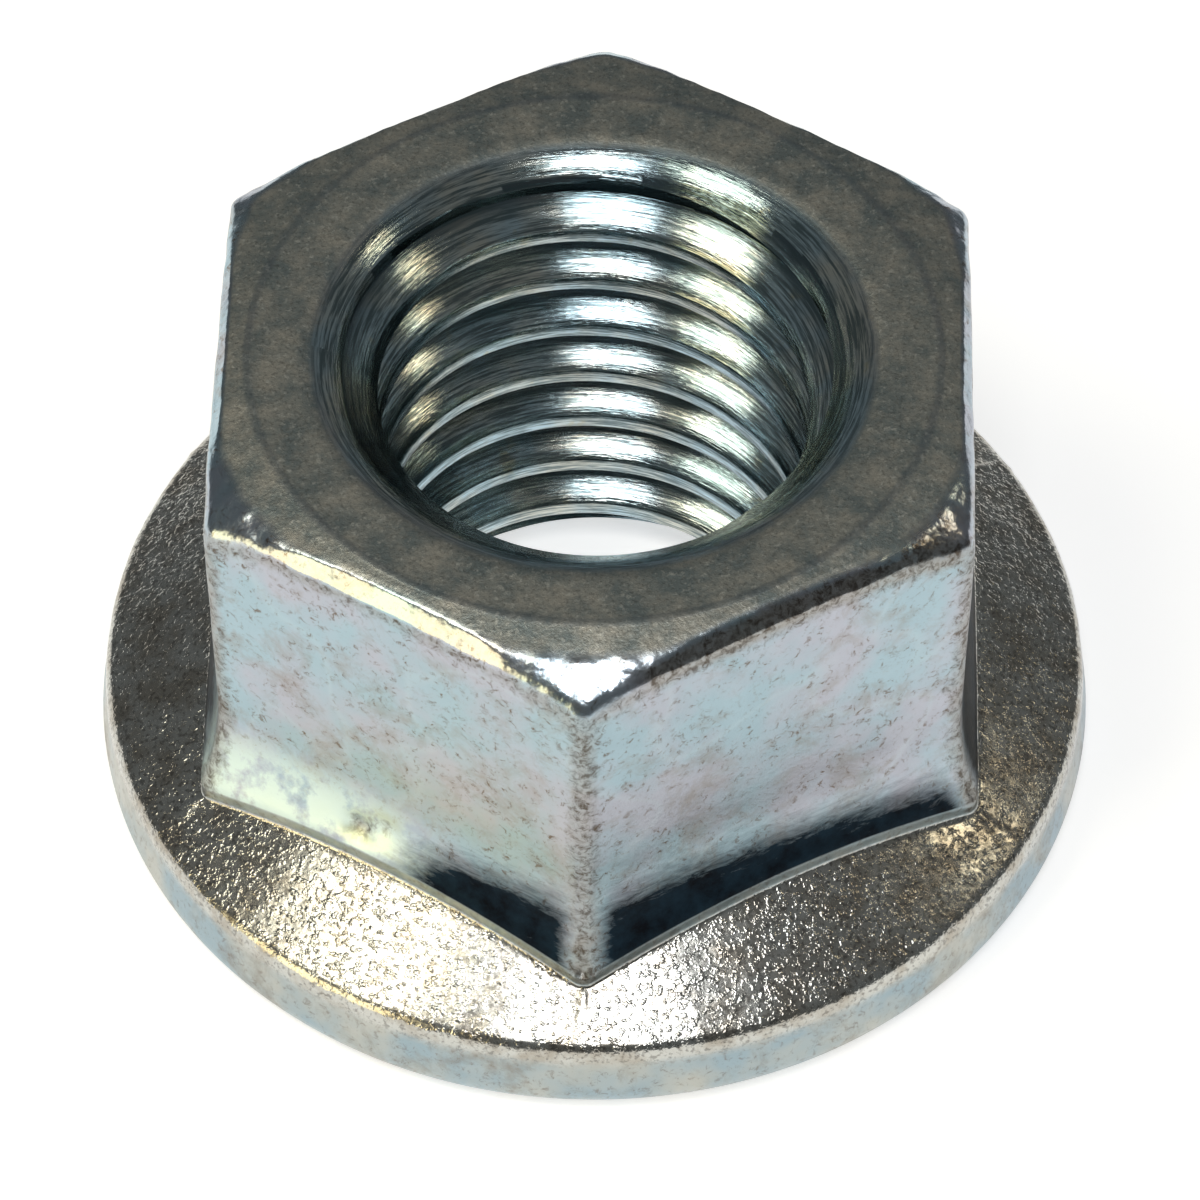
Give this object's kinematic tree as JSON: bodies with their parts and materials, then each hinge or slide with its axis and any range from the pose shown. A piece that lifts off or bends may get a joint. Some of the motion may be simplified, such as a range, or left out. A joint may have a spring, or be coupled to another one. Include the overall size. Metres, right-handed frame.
{
  "type": "serrated flange nut",
  "caption": "One-piece hexagon nut with a wide conical flange whose underside is cut with ratchet serrations that bite into the clamped part and stop the nut from working loose",
  "frame": {"origin": "centre of the bearing plane, where the tips of the serrations lie, on the thread's axis", "axes": "+Z runs along the thread axis from the bearing face out through the top of the nut; the flats across X face +X and -X, and a corner of the hexagon points along -Y"},
  "size_m": [0.025, 0.025, 0.0138],
  "materials": {
    "zinc_plated_steel": "bright zinc plating with a blue passivated tint, satin on the flats"
  },
  "bodies": {
    "root": {"flange_nut": "zinc_plated_steel"}
  },
  "joints": []
}
